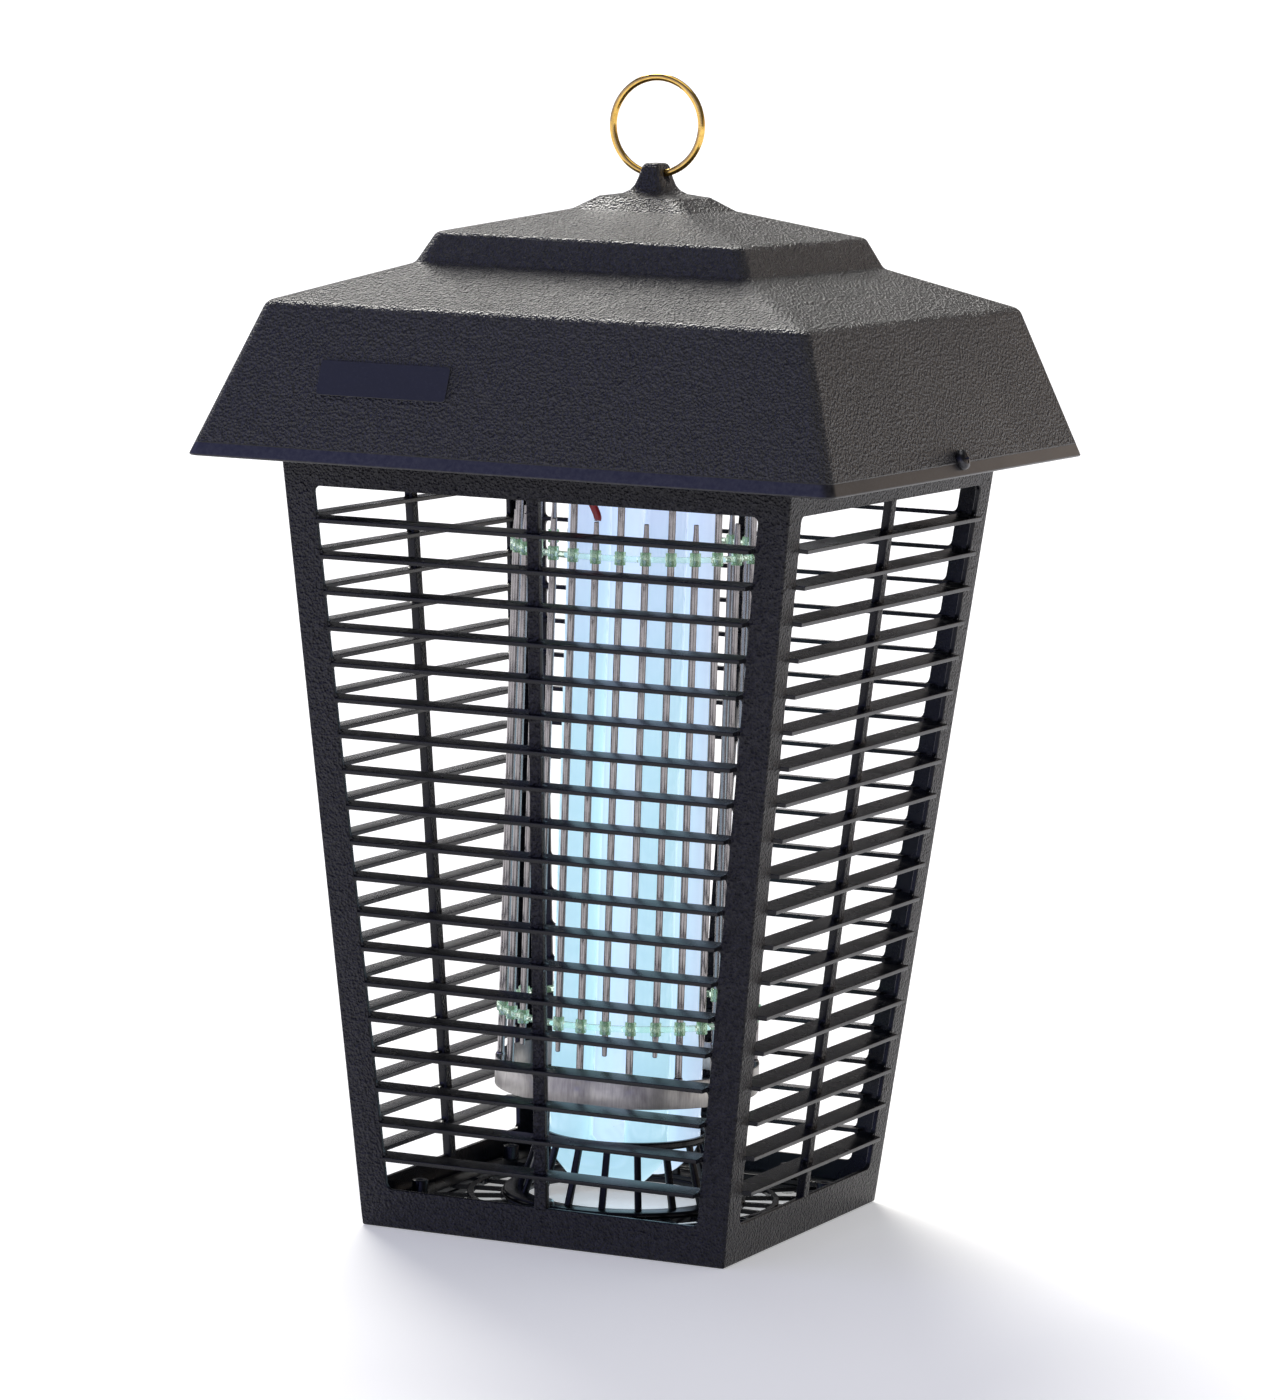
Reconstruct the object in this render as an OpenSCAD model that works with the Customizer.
// Hanging lantern bug zapper: tapering louvred cage under a stepped square roof.
// The origin is at the middle of the bottom rim, +Z up, the front wall faces -Y.

/* [Roof] */
// Width of the roof across its bottom edge
roof_w = 280; // [278:1:282]
// Height of the roof's bottom edge above the floor
roof_z = 316.5; // [316:0.5:317]
// Thickness of the roof's wall
roof_t = 2.5; // [2:0.1:2.8]
// Radius of the roof's upright corners
roof_r = 5; // [4:0.5:6]
// Height of the two screws that hold the roof to the pan
roof_screw_z = 323; // [322:0.5:325]

/* [Hanging ring] */
// Radius of the ring's wire
ring_wire_r = 1.5; // [1.3:0.1:1.6]
// Radius of the ring to the middle of its wire
ring_r = 19.7; // [19:0.1:20.5]
// Height of the hole in the roof's lug
lug_hole_z = 431.8; // [431.4:0.1:432]
// Radius of the hole in the roof's lug
lug_hole_r = 2.25; // [2.2:0.05:2.4]

/* [Cage] */
// Width of the cage at the floor
cage_w = 161.6; // [161:0.2:162]
// Outward lean of each wall, in degrees
cage_lean = 5.49; // [5.4:0.01:5.6]
// Height of the cage walls
cage_h = 320; // [319.5:0.5:320]
// Thickness of a wall's outer skin
skin_t = 2; // [1.8:0.1:2.2]
// Width of a corner post on each face
post_w = 13.1; // [13:0.1:14]
// Height of the bottom of each window
window_z0 = 16.3; // [16:0.1:17]
// Height of the top of each window
window_z1 = 305; // [304:0.5:306]
// Width of the upright bar in the middle of each window
mullion_w = 5.2; // [5:0.1:5.6]
// Number of slats in each window
slat_count = 19; // [17:1:19]
// Spacing of the slats
slat_pitch = 14.55; // [14.4:0.05:14.6]
// Height of the lowest slat
slat_z0 = 28.7; // [28.5:0.1:29.5]
// Thickness of a slat
slat_t = 1.7; // [1.4:0.1:1.8]
// How far a slat stands out of the wall
slat_out = 3.3; // [3:0.1:3.5]
// How far a slat reaches inside the face of the wall
slat_in = 7.5; // [7:0.5:8]
// How far a slat slopes down towards the outside, in degrees
slat_tilt = 4.5; // [4:0.5:5.5]

/* [Shock grid] */
// Number of rods in each of the two sets
rods_per_set = 16; // [16:1:16]
// Radius of the circle that the rods stand on
rod_circle_r = 52.6; // [52.4:0.1:52.8]
// Radius of a rod
rod_r = 1.5; // [1.4:0.05:1.6]
// Radius of a rod's free tip
rod_tip_r = 1; // [0.9:0.05:1.2]
// Turn of the whole grid about the lamp, in degrees
grid_turn = 2.4; // [0:0.1:3]
// Height of the steel band that joins the lower set
band_z = 53.8; // [53:0.1:55]
// Height of the band itself
band_h = 11.7; // [11:0.1:12]
// Height of the free lower ends of the upper set
upper_set_z0 = 75; // [74:0.5:76]
// Height of the free upper ends of the lower set
lower_set_z1 = 293; // [292:0.5:294]
// Heights of the two clear spacer rings
spacer_z = [84, 276];

/* [Lamp] */
// Radius of the glass tube
tube_r = 9; // [8.8:0.1:9]
// Spacing of the four legs, both ways
leg_pitch = 34; // [33.8:0.1:34]
// Height of the lamp's lowest point
lamp_z = 14.3; // [14:0.1:16]
// Height of the underside of the lamp's cap
cap_z = 302; // [301:0.5:302]
// Height of the lamp's cap
cap_h = 28; // [28:1:28]

/* [Hidden] */
$fn = 48;

black = [0.09, 0.09, 0.10];
gloss_black = [0.05, 0.05, 0.06];
steel = [0.62, 0.63, 0.62];
zinc = [0.74, 0.75, 0.76];
brass = [0.80, 0.63, 0.33];
clear_plastic = [0.80, 0.90, 0.86, 0.5];
white_plastic = [0.92, 0.92, 0.90];
laminated = [0.38, 0.37, 0.36];
copper = [0.66, 0.36, 0.20];
red = [0.78, 0.12, 0.10];

// Roof: half widths and heights of the slopes, from the bottom edge up
roof_a = roof_w / 2;
roof_path = [
    [roof_a, roof_z],
    [roof_a - 22.1, roof_z + 62],
    [roof_a - 66.2, roof_z + 78],
    [roof_a - 72.3, roof_z + 90.4],
    [roof_a - 113.4, roof_z + 100.7],
    [roof_a - 121.7, roof_z + 106.1],
    [roof_a - 125, roof_z + 106.6]
];
roof_edge_r = [0, 5, 3.5, 3, 3, 1.2, 0];
skirt_lean = atan(22.1 / 62);
// Lug on top of the roof: half width in X, half depth in Y, height
lug_levels = [
    [10.4, 12.6, roof_z + 107.4],
    [7.8, 10.2, roof_z + 108.9],
    [6.15, 9, roof_z + 110.9],
    [5.1, 8, roof_z + 113.6],
    [3.7, 6.8, roof_z + 118.3],
    [3.1, 5.9, roof_z + 119.4],
    [2.2, 4.7, roof_z + 119.8]
];
badge_size = [57, 14.5, 0.5];
badge_x = -58;
badge_up = 33.5;

// Cage
cage_b = cage_w / 2;
lean_rise = tan(cage_lean);
ledge_w = 13;
// How far a slat's ends reach behind the posts, and the depth of the mullion
slat_hold = 3;
mullion_depth = 3.6;
floor_ledge_z = 3;
ledge_t = 2.5;
fix_x = [-44, 44];
fix_in = 8.5;

// Pan, floor and screws
pan_t = 1.5;
pan_half = 110.5;
pan_z = cage_h;
pan_top = pan_z + pan_t;
flange_h = 10.5;
arm_w = 24;
arm_z = pan_z + flange_h - pan_t;
arm_end = roof_a - 7.8;
lamp_hole_r = 36;
floor_z = floor_ledge_z + ledge_t;
floor_t = 2.5;
floor_top = floor_z + floor_t;
floor_half = 77.6;
floor_hole_r = 41;
guard_base_r = 50;
guard_screw_r = 46.5;
guard_ribs = 18;
guard_turn = 2.5;
guard_screw_angles = [for (k = [0:2]) guard_turn + 10 + 120 * k];
screw_r = 1.45;
hole_r = 1.5;

// Grid
rod_step = 360 / rods_per_set;
lower_set_angle = grid_turn - 90;
upper_set_angle = lower_set_angle + rod_step / 2;
bus_t = 0.8;
bus_z = 303;
bus_h = 8.2;
standoff_r = 44.5;
standoff_z = bus_z + bus_h;
second_lead_angle = lower_set_angle + 9 * rod_step;
lead_hole_r = 56.5;
red_hole_angle = lower_set_angle - 9;
rod_taper = 12;

// Lamp
leg = leg_pitch / 2;
glass_t = 1;
cap_round = tube_r + 0.4;
cap_top = cap_z + cap_h;
pin_x = [-16.5, -5.5, 5.5, 16.5];
pin_len = 7;
socket_gap = 0.4;
socket_top = cap_top + 20;
bracket_y = 39.5;
bracket_foot = 50;

// Transformer and ballast: width, height and stack of the core
transformer_x = -68;
transformer_size = [66, 55, 34];
ballast_x = 68;
ballast_size = [54, 45, 30];
starter_at = [-22, 80];
starter_base_h = 12;
starter_ear = 16.2;
block_at = [22, -82];
block_ear = 35;
gland_y = 121;
gland_bore_r = 3.6;

// Routes of the leads inside the roof
red_route = [[-6, -55, 337], [-26, -42, 345], [-33, -20, 349], [-36, -11, 349], [-39.9, -10, 349]];
second_route = [[-30, 50, 337], [-34, 36, 345], [-34, 20, 349], [-36, 11, 349], [-39.9, 10, 349]];
lamp_routes = [
    [[26.2, -6, 343], [30, -6, 343], [36, -8, 343], [41, -9, 343], [43.9, -9, 343]],
    [[26.2, 4, 343], [29, 4, 343], [32, 10, 343], [32, 34, 341], [20, 60, 336], [4, 78, 332],
        [-8.7, 80, 331]],
    [[26.2, 9, 341], [28, 10, 341], [29, 18, 341], [24, 44, 337], [8, 60, 332], [-4, 68.6, 329],
        [-10.6, 73, 328]]
];
supply_routes = [
    [[10, -79, 330.5], [10, -67, 331], [0, -66, 333], [-24, -62, 336], [-42, -46, 340], [-45, -30, 342],
        [-45, -21.8, 342.5]],
    [[34, -79, 330.5], [34, -66, 331], [42, -50, 335], [48, -34, 340], [48, -24, 342], [48, -17.8, 342.5]]
];

function unit(v) = v / norm(v);
function turned(v) = [-v.y, v.x];

// The arc that rounds corner c between points a and b with radius r
function corner_arc(a, c, b, r, steps = 3) =
    let (
        u = unit(a - c),
        v = unit(b - c),
        half = acos(u * v) / 2,
        m = c + unit(u + v) * r / sin(half),
        s = c + u * r / tan(half) - m,
        e = c + v * r / tan(half) - m,
        a0 = atan2(s.y, s.x),
        sweep = (atan2(e.y, e.x) - a0 + 540) % 360 - 180
    )
    [for (i = [0:steps]) m + r * [cos(a0 + sweep * i / steps), sin(a0 + sweep * i / steps)]];

// An open path with its inner corners rounded
function rounded_path(path, r) = [
    for (i = [0:len(path) - 1])
        each (r[i] == 0 ? [path[i]] : corner_arc(path[i - 1], path[i], path[i + 1], r[i]))
];

// A closed outline with every corner rounded
function rounded_outline(path, r, steps = 3) =
    let (n = len(path))
    [for (i = [0:n - 1]) each corner_arc(path[(i + n - 1) % n], path[i], path[(i + 1) % n], r, steps)];

// The same path moved sideways by t, to its left
function inset_path(path, t) =
    let (last = len(path) - 1, side = [for (i = [0:last - 1]) turned(unit(path[i + 1] - path[i]))])
    [for (i = [0:last])
        let (n0 = side[max(i - 1, 0)], n1 = side[min(i, last - 1)])
        path[i] + (n0 + n1) * t / (1 + n0 * n1)];

// One level of a loft: a rectangle with rounded corners at height z
function level(hx, hy, r, z, steps = 4) = [
    for (q = [0:3]) for (i = [0:steps])
        let (a = 90 * q + 90 * i / steps, sx = (q == 0 || q == 3) ? 1 : -1, sy = q < 2 ? 1 : -1)
        [sx * (hx - r) + r * cos(a), sy * (hy - r) + r * sin(a), z]
];

module loft(levels) {
    n = len(levels[0]);
    top = len(levels) - 1;
    sides = [
        for (k = [0:top - 1]) for (i = [0:n - 1])
            [k * n + i, (k + 1) * n + i, (k + 1) * n + (i + 1) % n, k * n + (i + 1) % n]
    ];
    floor_face = [for (i = [0:n - 1]) i];
    roof_face = [for (i = [n - 1:-1:0]) top * n + i];
    polyhedron([for (l = levels) each l], concat([floor_face], sides, [roof_face]));
}

// A point on a smooth curve through four points, between the middle two
function smooth_point(p, t) =
    0.5 * (2 * p[1] + (p[2] - p[0]) * t + (2 * p[0] - 5 * p[1] + 4 * p[2] - p[3]) * t * t
        + (3 * p[1] - p[0] - 3 * p[2] + p[3]) * t * t * t);
function smooth_path(route, steps) =
    let (n = len(route) - 1)
    concat([for (i = [0:n - 1]) for (k = [0:steps - 1])
        smooth_point([route[max(i - 1, 0)], route[i], route[i + 1], route[min(i + 2, n)]], k / steps)],
        [route[n]]);

// A round lead swept along a route. across is a direction that no part of the route comes near.
module lead(route, r, steps = 3, sides = 8, across = [0.31, 0.47, 0.83]) {
    path = smooth_path(route, steps);
    n = len(path) - 1;
    frames = [
        for (i = [0:n])
            let (d = unit(path[min(i + 1, n)] - path[max(i - 1, 0)]),
                side = unit(cross(d, across)))
            [side, cross(d, side)]
    ];
    loft([
        for (i = [0:n])
            [for (k = [0:sides - 1])
                let (a = 360 * k / sides)
                path[i] + r * (frames[i][0] * cos(a) + frames[i][1] * sin(a))]
    ]);
}

// A screw standing on z = 0 with its shank below
module screw(head_r, head_h, shank_r, shank_len) {
    difference() {
        union() {
            cylinder(r = head_r, h = head_h * 0.55);
            translate([0, 0, head_h * 0.55])
                cylinder(r1 = head_r, r2 = head_r * 0.72, h = head_h * 0.45);
            translate([0, 0, -shank_len]) cylinder(r = shank_r, h = shank_len);
        }
        for (a = [0, 90]) rotate(a)
            translate([-head_r * 0.55, -0.35, head_h * 0.5]) cube([head_r * 1.1, 0.7, head_h]);
    }
}

module tube(r, wall, h) {
    difference() {
        cylinder(r = r, h = h, $fn = 96);
        translate([0, 0, -1]) cylinder(r = r - wall, h = h + 2, $fn = 96);
    }
}

// Places its children on the roof's skirt: x along the surface, y up it, z outwards, facing +X
module on_skirt(z) {
    translate([roof_a - (z - roof_z) * tan(skirt_lean), 0, z])
        rotate([0, 90 - skirt_lean, 0]) rotate(90) children();
}

// ---- Roof and what is on it

module roof() {
    color(black) difference() {
        union() {
            loft(concat(
                [for (p = rounded_path(roof_path, roof_edge_r)) level(p.x, p.x, min(roof_r, p.x * 0.25), p.y)],
                [for (l = lug_levels) level(l[0], l[1], l[0] * 0.45, l[2])]
            ));
        }
        loft([for (p = inset_path([for (i = [0:5]) roof_path[i]], roof_t)) level(p.x, p.x, roof_r - 2, p.y)]);
        for (a = [0, 180]) rotate(a)
            on_skirt(roof_screw_z) translate([0, 0, -10]) cylinder(r = 2.1, h = 20);
        translate([-20, 0, lug_hole_z]) rotate([0, 90, 0]) cylinder(r = lug_hole_r, h = 40);
    }
}

module hang_ring() {
    color(brass) translate([0, 0, lug_hole_z + ring_r]) rotate([90, 0, 0])
        rotate_extrude($fn = 72) translate([ring_r, 0]) circle(r = ring_wire_r);
}

module roof_screws() {
    color(gloss_black) for (a = [0, 180]) rotate(a)
        on_skirt(roof_screw_z) screw(4.2, 3.4, 1.95, 12);
}

module badge() {
    color(gloss_black) rotate(-90) on_skirt(roof_z + badge_up)
        translate([badge_x, 0, badge_size.z / 2]) cube(badge_size, center = true);
}

// ---- Cage walls, each with its window, mullion and slats

function face_y(z) = -(cage_b + lean_rise * z);

// Places its children in the wall's plane: x across, y inwards, z up the slope
module in_wall() {
    translate([0, -cage_b, 0]) rotate([cage_lean, 0, 0]) children();
}

module window(depth) {
    lo = window_z0 / cos(cage_lean);
    hi = window_z1 / cos(cage_lean);
    half_lo = cage_b + lo * sin(cage_lean) - post_w;
    half_hi = cage_b + hi * sin(cage_lean) - post_w;
    outline = [[-half_lo, lo], [half_lo, lo], [half_hi, hi], [-half_hi, hi]];
    in_wall() translate([0, depth, 0]) rotate([90, 0, 0])
        linear_extrude(depth + 5) polygon(rounded_outline(outline, 2.5));
}

module slat(z) {
    w = -face_y(z) - post_w;
    translate([0, face_y(z), z]) rotate([slat_tilt, 0, 0]) linear_extrude(slat_t) polygon([
        [-w - slat_hold, slat_in], [-w - slat_hold, 1.2], [-w - 0.8, 1.2], [-w + 0.6, -0.6],
        [-w + 1.3, -slat_out], [w - 1.3, -slat_out],
        [w - 0.6, -0.6], [w + 0.8, 1.2], [w + slat_hold, 1.2], [w + slat_hold, slat_in]
    ]);
}

// A flat ledge on the inside of the wall with screw bosses on one side of it
module ledge(z, boss_z, boss_h) {
    y = face_y(z);
    difference() {
        union() {
            translate([-cage_w, y + skin_t - 1, z]) cube([2 * cage_w, ledge_w, ledge_t]);
            if (boss_h > 0) for (x = fix_x)
                translate([x, y + fix_in, boss_z]) cylinder(r = 3.4, h = boss_h);
        }
        for (x = fix_x) translate([x, y + fix_in, z - 20]) cylinder(r = hole_r, h = 40);
    }
}

module cage_wall() {
    color(black) intersection() {
        linear_extrude(cage_h) polygon([[0, 0], [-160, -160], [160, -160]]);
        union() {
            difference() {
                in_wall() translate([-140, 0, -10]) cube([280, skin_t, cage_h + 20]);
                window(skin_t + 5);
            }
            in_wall() translate([-mullion_w / 2, 0, window_z0 - 1])
                cube([mullion_w, mullion_depth, window_z1 - window_z0 + 4]);
            for (k = [0:slat_count - 1]) slat(slat_z0 + k * slat_pitch);
            ledge(floor_ledge_z, 0, 0);
            ledge(cage_h - ledge_t, cage_h - 9, 8);
        }
    }
}

module cage_front() { cage_wall(); }
module cage_right() { rotate(90) cage_wall(); }
module cage_back() { rotate(180) cage_wall(); }
module cage_left() { rotate(270) cage_wall(); }

// Places its children at the screws of all four walls, at height z
module at_wall_screws(z) {
    for (a = [0, 90, 180, 270]) for (x = fix_x)
        rotate(a) translate([x, face_y(z) + fix_in, z]) children();
}

// ---- Pan under the roof

module pan_arm() {
    translate([pan_half - pan_t, -arm_w / 2, arm_z]) cube([arm_end - pan_half + pan_t, arm_w, pan_t]);
}

module component_pan() {
    color(zinc) difference() {
        union() {
            translate([-pan_half, -pan_half, pan_z]) cube([2 * pan_half, 2 * pan_half, pan_t]);
            difference() {
                translate([-pan_half, -pan_half, pan_z]) cube([2 * pan_half, 2 * pan_half, flange_h]);
                translate([-pan_half + pan_t, -pan_half + pan_t, pan_z])
                    cube([2 * (pan_half - pan_t), 2 * (pan_half - pan_t), flange_h + 1]);
            }
            for (a = [0, 90, 180]) rotate(a) pan_arm();
            for (a = [0, 180]) rotate(a) on_skirt(roof_screw_z)
                translate([-arm_w / 2, -5.5, -roof_t - pan_t]) cube([arm_w, 14.5, pan_t]);
        }
        translate([0, 0, pan_z - 1]) cylinder(r = lamp_hole_r, h = 4, $fn = 96);
        at_wall_screws(cage_h - ledge_t) cylinder(r = hole_r, h = 8);
        for (a = [45:90:315]) rotate(a) translate([standoff_r, 0, pan_z - 1]) cylinder(r = hole_r, h = 4);
        for (a = [red_hole_angle, second_lead_angle]) rotate(a)
            translate([lead_hole_r, 0, pan_z - 1]) cylinder(r = 4, h = 4);
        for (a = [0, 180]) rotate(a)
            on_skirt(roof_screw_z) translate([0, 0, -12]) cylinder(r = 2, h = 12);
        translate([0, gland_y, pan_z]) cylinder(r = 7.5, h = 20);
        for (p = foot_points()) translate([p.x, p.y, pan_z - 1]) cylinder(r = hole_r, h = 4);
    }
}

// Every screw that holds a foot of a bracket or a frame down on the pan
function foot_points() = concat(
    [for (sx = [-9, 9]) for (sy = [-1, 1]) [sx, sy * (bracket_foot - 5.5)]],
    [for (sy = [-1, 1]) [transformer_x, sy * (transformer_size.x / 2 + 8)]],
    [for (sy = [-1, 1]) [ballast_x, sy * (ballast_size.x / 2 + 8)]],
    [for (s = [-1, 1]) [block_at.x + s * block_ear, block_at.y]],
    [for (s = [-1, 1]) [starter_at.x + s * starter_ear, starter_at.y]]
);

module pan_screws() {
    color(zinc) at_wall_screws(cage_h - ledge_t) translate([0, 0, ledge_t + pan_t])
        screw(3.2, 2.2, screw_r, 9.5);
}

// ---- Floor and the guard round the lamp's lower end

module floor_grille() {
    color(black) difference() {
        union() {
            difference() {
                translate([-floor_half, -floor_half, floor_z]) cube([2 * floor_half, 2 * floor_half, floor_t]);
                translate([-68, -68, floor_z - 1]) cube([136, 136, floor_t + 2]);
            }
            translate([0, 0, floor_z]) tube(guard_base_r + 1, guard_base_r + 1 - floor_hole_r, floor_t);
            intersection() {
                translate([-69, -69, floor_z]) cube([138, 138, floor_t]);
                union() for (a = [0:15:345]) rotate(a)
                    translate([guard_base_r, -1.25, floor_z + 0.4]) cube([50, 2.5, floor_t - 0.8]);
            }
            translate([0, 0, floor_z]) tube(65, 2.5, floor_t);
            for (a = [0, 90, 180, 270]) for (x = fix_x) rotate(a)
                translate([x, face_y(floor_ledge_z) + fix_in, floor_z]) cylinder(r = 3.4, h = 8);
        }
        at_wall_screws(floor_ledge_z) cylinder(r = hole_r, h = 20);
        for (a = guard_screw_angles) rotate(a)
            translate([guard_screw_r, 0, floor_z - 1]) cylinder(r = hole_r, h = 5);
    }
}

module floor_screws() {
    color(zinc) at_wall_screws(floor_ledge_z) mirror([0, 0, 1]) screw(3.2, 2.2, screw_r, 9);
}

module guard_rib() {
    translate([0, 1.4, 0]) rotate([90, 0, 0]) linear_extrude(2.8) polygon([
        [34.4, 34.5], [36.4, 34.5], [44.4, floor_top + 1], [41.8, floor_top + 1]
    ]);
}

module lamp_guard() {
    color(gloss_black) difference() {
        union() {
            translate([0, 0, 33.2]) tube(36.8, 2.8, 3.2);
            translate([0, 0, floor_top]) tube(guard_base_r, guard_base_r - floor_hole_r, 2);
            for (k = [0:guard_ribs - 1]) rotate(k * 360 / guard_ribs + guard_turn) guard_rib();
        }
        for (a = guard_screw_angles) rotate(a)
            translate([guard_screw_r, 0, floor_top - 1]) cylinder(r = hole_r, h = 4);
    }
}

module guard_screws() {
    color(zinc) for (a = guard_screw_angles) rotate(a)
        translate([guard_screw_r, 0, floor_top + 2]) screw(2.6, 1.8, screw_r, 6);
}

// ---- Shock grid

// Upright rods of length h with a tapered free end at the top
module rod_set(angle, h) {
    for (k = [0:rods_per_set - 1]) rotate(angle + k * rod_step)
        translate([rod_circle_r, 0, 0]) {
            cylinder(r = rod_r, h = h - rod_taper, $fn = 24);
            translate([0, 0, h - rod_taper])
                cylinder(r1 = rod_r, r2 = rod_tip_r, h = rod_taper, $fn = 24);
        }
}

module grid_rods_upper() {
    top = bus_z + bus_h - 1;
    color(steel) translate([0, 0, top]) mirror([0, 0, 1]) rod_set(upper_set_angle, top - upper_set_z0);
}

module grid_rods_lower() {
    color(steel) translate([0, 0, band_z + 1]) rod_set(lower_set_angle, lower_set_z1 - band_z - 1);
}

// Band inside the upper rods with four flat tabs for the standoffs
module upper_bus_band() {
    r = rod_circle_r - rod_r;
    color(zinc) difference() {
        union() {
            translate([0, 0, bus_z]) tube(r, bus_t, bus_h);
            for (a = [45:90:315]) rotate(a) translate([39.5, -5.5, bus_z + bus_h - bus_t])
                cube([r - bus_t - 39, 11, bus_t]);
        }
        for (a = [45:90:315]) rotate(a) translate([standoff_r, 0, bus_z]) cylinder(r = hole_r, h = 20);
    }
}

// Band outside the lower rods
module lower_bus_band() {
    color(steel) translate([0, 0, band_z]) tube(rod_circle_r + rod_r + bus_t, bus_t, band_h);
}

// Clear ring with a collar round every rod
module spacer(z) {
    all_rods = [for (k = [0:2 * rods_per_set - 1]) lower_set_angle + k * rod_step / 2];
    color(clear_plastic) translate([0, 0, z]) difference() {
        union() {
            translate([0, 0, 1.4]) tube(rod_circle_r + 1.3, 2.6, 2.4);
            for (a = all_rods) rotate(a) translate([rod_circle_r, 0, 0]) cylinder(r = 2.3, h = 5.5, $fn = 24);
        }
        for (a = all_rods) rotate(a)
            translate([rod_circle_r, 0, -1]) cylinder(r = rod_r + 0.03, h = 8, $fn = 24);
    }
}

module upper_spacer() { spacer(spacer_z[1]); }
module lower_spacer() { spacer(spacer_z[0]); }

module grid_standoffs() {
    color(white_plastic) for (a = [45:90:315]) rotate(a) translate([standoff_r, 0, standoff_z]) difference() {
        cylinder(r = 4.8, h = pan_z - standoff_z);
        translate([0, 0, -1]) cylinder(r = hole_r, h = 4.6);
        translate([0, 0, pan_z - standoff_z - 3.6]) cylinder(r = hole_r, h = 4.6);
    }
}

module standoff_screws() {
    color(zinc) for (a = [45:90:315]) rotate(a) translate([standoff_r, 0, 0]) {
        translate([0, 0, pan_top]) screw(2.8, 2, screw_r, 4.8);
        translate([0, 0, standoff_z - bus_t]) mirror([0, 0, 1]) screw(2.8, 2, screw_r, 4.1);
    }
}

// ---- Lamp, its cap, pins and socket

// Two upright legs of radius r joined by a bend at the bottom
module u_shape(r, top) {
    z = lamp_z + tube_r;
    for (x = [-leg, leg]) translate([x, 0, z]) {
        cylinder(r = r, h = top - z);
        sphere(r = r);
    }
    translate([-leg, 0, z]) rotate([0, 90, 0]) cylinder(r = r, h = 2 * leg);
}

module u_tube() {
    difference() {
        u_shape(tube_r, cap_z + 6);
        u_shape(tube_r - glass_t, cap_z + 7);
    }
}

module lamp_tubes() {
    color([0.72, 0.86, 1.0]) for (y = [-leg, leg]) translate([0, y, 0]) u_tube();
}

module lamp_cap() {
    half = leg + cap_round;
    outline = [[-half, -half], [half, -half], [half, half], [-half, half]];
    color(white_plastic) difference() {
        translate([0, 0, cap_z]) linear_extrude(cap_h) polygon(rounded_outline(outline, cap_round, 8));
        for (x = [-leg, leg]) for (y = [-leg, leg])
            translate([x, y, cap_z - 1]) cylinder(r = tube_r + 0.05, h = 7.05);
    }
}

module lamp_pins() {
    color(brass) for (x = pin_x) translate([x, 0, cap_top]) cylinder(r = 1.2, h = pin_len, $fn = 24);
}

module lamp_socket() {
    color(white_plastic) difference() {
        translate([-26, -13, cap_top + socket_gap]) cube([52, 26, socket_top - cap_top - socket_gap]);
        for (x = pin_x) translate([x, 0, cap_top]) cylinder(r = 1.25, h = pin_len + 1.5, $fn = 24);
        for (x = [-21.5, 21.5]) translate([x, 0, socket_top - 8]) cylinder(r = hole_r, h = 10);
    }
}

module socket_bracket() {
    top = socket_top + pan_t;
    color(zinc) difference() {
        union() {
            translate([-26, -bracket_y, socket_top]) cube([52, 2 * bracket_y, pan_t]);
            for (a = [0, 180]) rotate(a) {
                translate([-15, bracket_y - pan_t, pan_top]) cube([30, pan_t, top - pan_top]);
                translate([-15, bracket_y - pan_t, pan_top]) cube([30, bracket_foot - bracket_y + pan_t, pan_t]);
            }
        }
        for (x = [-9, 9]) for (y = [-1, 1])
            translate([x, y * (bracket_foot - 5.5), pan_z]) cylinder(r = hole_r, h = 6);
        for (x = [-21.5, 21.5]) translate([x, 0, socket_top - 1]) cylinder(r = hole_r, h = 4);
    }
}

module bracket_screws() {
    color(zinc) {
        for (x = [-9, 9]) for (y = [-1, 1])
            translate([x, y * (bracket_foot - 5.5), pan_top + pan_t]) screw(2.8, 2, screw_r, 5);
        for (x = [-21.5, 21.5]) translate([x, 0, socket_top + pan_t]) screw(2.8, 2, screw_r, 7);
    }
}

// ---- Transformer and ballast, both a laminated core with a coil round its middle leg

module laminated_core(size) {
    w = size.x;
    h = size.y;
    color(laminated) translate([0, 0, pan_top]) difference() {
        translate([-size.z / 2, -w / 2, 0]) cube([size.z, w, h]);
        for (s = [-1, 1]) translate([-size.z, s * w / 4 - w / 12, w / 6]) cube([2 * size.z, w / 6, h - w / 3]);
    }
}

module coil(size) {
    gap = 0.3;
    leg_y = size.x / 6;
    half_x = size.z / 2 + size.x / 6;
    half_y = size.x / 3 - gap;
    outline = [[-half_x, -half_y], [half_x, -half_y], [half_x, half_y], [-half_x, half_y]];
    h = size.y - size.x / 3 - 2 * gap;
    color(copper) translate([0, 0, pan_top + size.x / 6 + gap]) difference() {
        linear_extrude(h) polygon(rounded_outline(outline, 5, 4));
        translate([-size.z / 2 - gap, -leg_y - gap, -1]) cube([size.z + 2 * gap, 2 * (leg_y + gap), h + 2]);
    }
}

// Steel strap over the core with a screwed foot at each end
module strap(size) {
    t = 1.2;
    half = size.x / 2 + t;
    w = size.z - 8;
    color(zinc) translate([0, 0, pan_top]) difference() {
        union() {
            translate([-w / 2, -half, size.y]) cube([w, 2 * half, t]);
            for (a = [0, 180]) rotate(a) {
                translate([-w / 2, size.x / 2, 0]) cube([w, t, size.y + t]);
                translate([-w / 2, size.x / 2, 0]) cube([w, 14, t]);
            }
        }
        for (s = [-1, 1]) translate([0, s * (size.x / 2 + 8), -1]) cylinder(r = hole_r, h = 4);
    }
}

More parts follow.
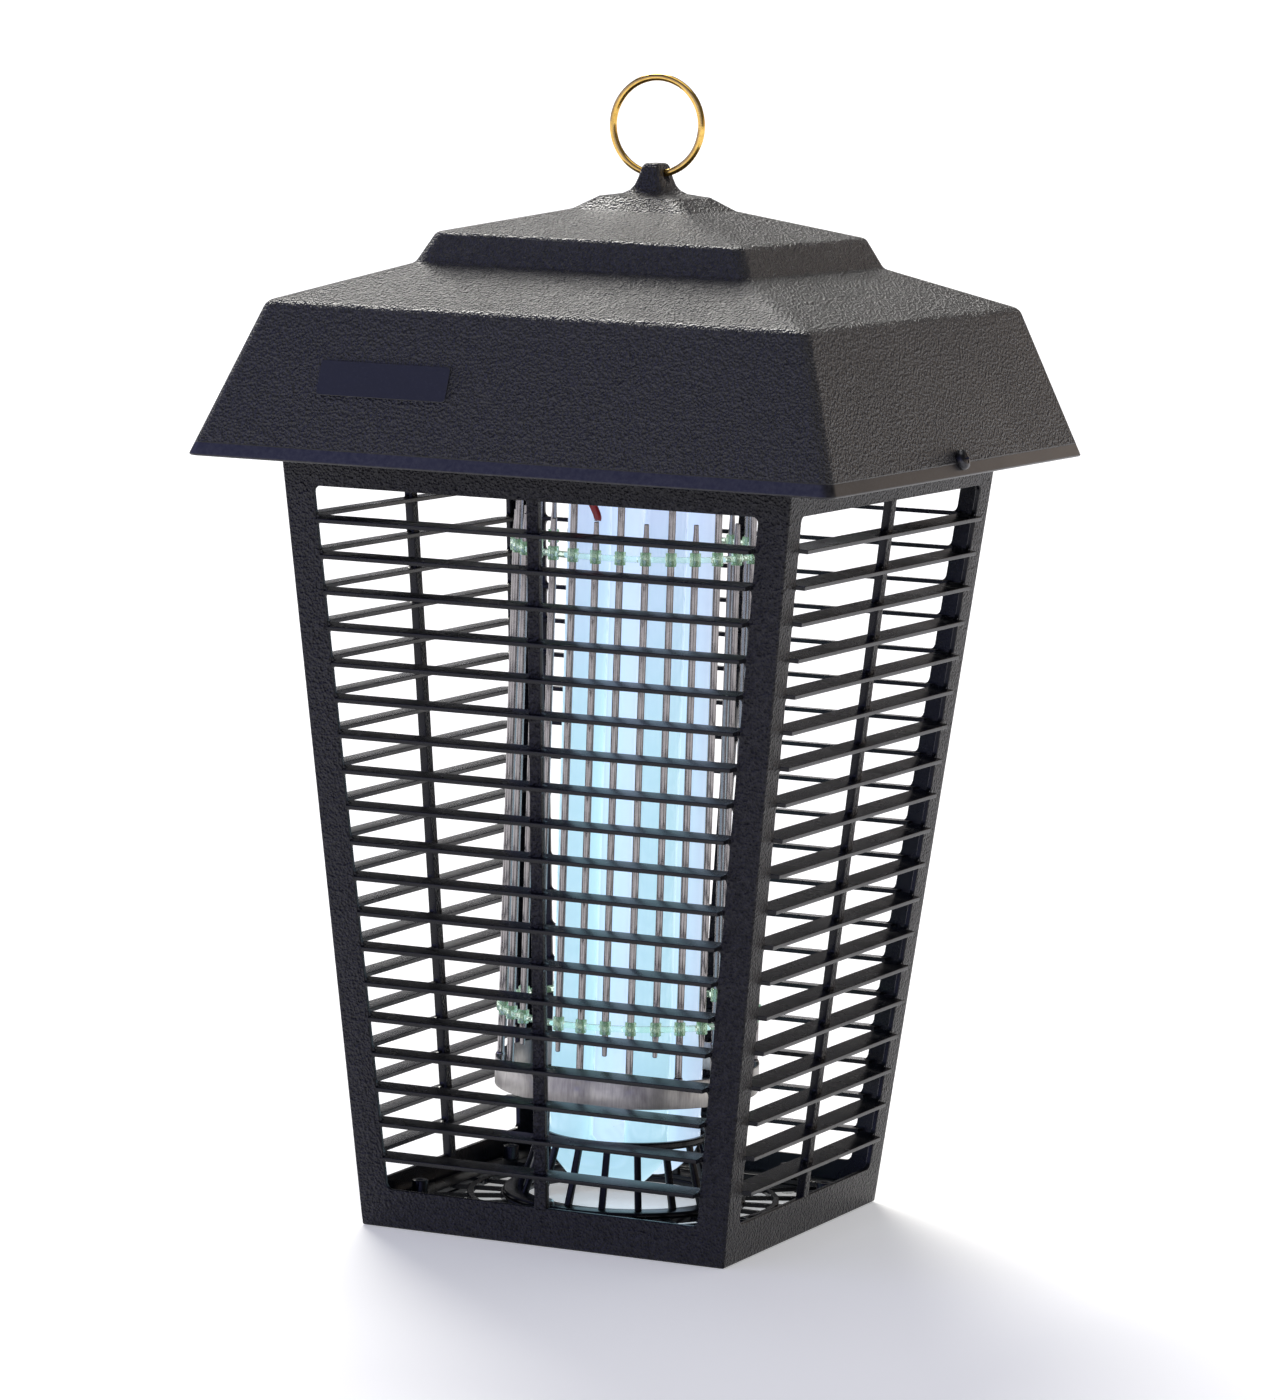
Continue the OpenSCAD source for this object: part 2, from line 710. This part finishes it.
module strap_screws(size) {
    color(zinc) for (s = [-1, 1]) translate([0, s * (size.x / 2 + 8), pan_top + 1.2])
        screw(3.2, 2.2, screw_r, 5);
}

module transformer_core() { translate([transformer_x, 0, 0]) laminated_core(transformer_size); }
module transformer_winding() { translate([transformer_x, 0, 0]) coil(transformer_size); }
module transformer_frame() { translate([transformer_x, 0, 0]) strap(transformer_size); }
module transformer_screws() { translate([transformer_x, 0, 0]) strap_screws(transformer_size); }
module ballast_core() { translate([ballast_x, 0, 0]) laminated_core(ballast_size); }
module ballast_winding() { translate([ballast_x, 0, 0]) coil(ballast_size); }
module ballast_frame() { translate([ballast_x, 0, 0]) strap(ballast_size); }
module ballast_screws() { translate([ballast_x, 0, 0]) strap_screws(ballast_size); }

// ---- Starter, terminal block, leads and gland

module starter() {
    z = pan_top + starter_base_h;
    color(zinc) translate([starter_at.x, starter_at.y, z + 0.3]) {
        cylinder(r = 10.5, h = 33);
        translate([0, 0, 33]) cylinder(r1 = 10.5, r2 = 9, h = 1.5);
        for (s = [-1, 1]) translate([s * 6.35, 0, -5]) cylinder(r = 1.6, h = 5, $fn = 24);
    }
}

// The starter's two pins turn in a ring groove
module starter_socket() {
    color(white_plastic) translate([starter_at.x, starter_at.y, pan_top]) difference() {
        union() {
            cylinder(r = 13, h = starter_base_h);
            translate([-19, -6, 0]) cube([38, 12, 4]);
        }
        translate([0, 0, starter_base_h - 6]) difference() {
            cylinder(r = 8.35, h = 8);
            translate([0, 0, -1]) cylinder(r = 4.35, h = 10);
        }
        for (s = [-1, 1]) translate([s * starter_ear, 0, -1]) cylinder(r = hole_r, h = 6);
    }
}

module terminal_block() {
    color(white_plastic) translate([block_at.x, block_at.y, pan_top]) difference() {
        union() {
            translate([-39, -6, 0]) cube([78, 12, 3.5]);
            translate([-30, -8.5, 0]) cube([60, 17, 6]);
            for (k = [-2:2]) translate([k * 12 - 4.5, -8.5, 5]) cube([9, 17, 9]);
        }
        for (k = [-2:2]) translate([k * 12, 0, 0]) {
            translate([0, 10, 9]) rotate([90, 0, 0]) cylinder(r = 1.8, h = 20, $fn = 24);
            for (y = [-4.5, 4.5]) translate([0, y, 9]) cylinder(r = 1.7, h = 6, $fn = 24);
        }
        for (s = [-1, 1]) translate([s * block_ear, 0, -1]) cylinder(r = hole_r, h = 6);
    }
}

module terminal_screws() {
    color(brass) for (k = [-2:2]) for (y = [-4.5, 4.5])
        translate([block_at.x + k * 12, block_at.y + y, pan_top + 10.5]) cylinder(r = 1.65, h = 3, $fn = 24);
}

module base_screws() {
    color(zinc) {
        for (s = [-1, 1]) translate([block_at.x + s * block_ear, block_at.y, pan_top + 3.5])
            screw(2.8, 2, screw_r, 6.5);
        for (s = [-1, 1]) translate([starter_at.x + s * starter_ear, starter_at.y, pan_top + 4])
            screw(2.8, 2, screw_r, 7);
    }
}

function polar(r, a, z) = [r * cos(a), r * sin(a), z];

// A high-voltage lead's drop from the pan to its end at the grid, listed from the end upwards
function hv_drop(end_r, end_angle, end_z, hole_angle) = [
    polar(end_r, end_angle, end_z),
    polar((end_r + lead_hole_r) / 2, (end_angle + hole_angle) / 2, (end_z + pan_z - 5) / 2),
    polar(lead_hole_r, hole_angle, pan_z - 5),
    polar(lead_hole_r, hole_angle, pan_z + 1),
    polar(lead_hole_r, hole_angle, pan_z + 7)
];

// Soldered to the free tip of one lower rod
module hv_lead_red() {
    color(red) lead(concat(
        [polar(rod_circle_r, lower_set_angle, lower_set_z1 + 0.6)],
        hv_drop(rod_circle_r, lower_set_angle, lower_set_z1 + 3, red_hole_angle),
        red_route
    ), 1.6);
}

module hv_lead_second() {
    end_r = rod_circle_r - rod_r + 1.7;
    color(white_plastic)
        lead(concat(hv_drop(end_r, second_lead_angle, bus_z + 3, second_lead_angle), second_route), 1.6,
            across = [0.8, 0.6, 0.3]);
}

module lead_grommets() {
    color(gloss_black) for (a = [red_hole_angle, second_lead_angle]) rotate(a)
        translate([lead_hole_r, 0, pan_z - 1.2]) difference() {
            union() {
                cylinder(r = 5.2, h = 1.2);
                cylinder(r = 4, h = pan_t + 2.4);
                translate([0, 0, pan_t + 1.2]) cylinder(r = 5.2, h = 1.2);
            }
            translate([0, 0, -1]) cylinder(r = 2, h = 8, $fn = 24);
        }
}

module lamp_leads() {
    color(white_plastic) for (route = lamp_routes) lead(route, 1.1);
}

module supply_leads() {
    color(gloss_black) for (route = supply_routes) lead(route, 1.1);
}

module cord_gland() {
    color(gloss_black) translate([0, gland_y, arm_z]) difference() {
        union() {
            translate([0, 0, -5]) cylinder(r = 9.5, h = 5);
            translate([0, 0, -11]) cylinder(r1 = 6, r2 = 8.5, h = 6);
            translate([0, 0, -1]) cylinder(r = 7.4, h = 10);
        }
        translate([0, 0, -20]) cylinder(r = gland_bore_r, h = 40);
    }
}

module gland_nut() {
    color(gloss_black) translate([0, gland_y, arm_z + pan_t]) difference() {
        cylinder(r = 10.5, h = 4, $fn = 6);
        translate([0, 0, -1]) cylinder(r = 7.45, h = 8);
    }
}

roof();
hang_ring();
roof_screws();
badge();
cage_front();
cage_right();
cage_back();
cage_left();
component_pan();
pan_screws();
floor_grille();
floor_screws();
lamp_guard();
guard_screws();
grid_rods_upper();
grid_rods_lower();
upper_bus_band();
lower_bus_band();
upper_spacer();
lower_spacer();
grid_standoffs();
standoff_screws();
lamp_tubes();
lamp_cap();
lamp_pins();
lamp_socket();
socket_bracket();
bracket_screws();
transformer_core();
transformer_winding();
transformer_frame();
transformer_screws();
ballast_core();
ballast_winding();
ballast_frame();
ballast_screws();
starter();
starter_socket();
terminal_block();
terminal_screws();
base_screws();
hv_lead_red();
hv_lead_second();
lead_grommets();
lamp_leads();
supply_leads();
cord_gland();
gland_nut();
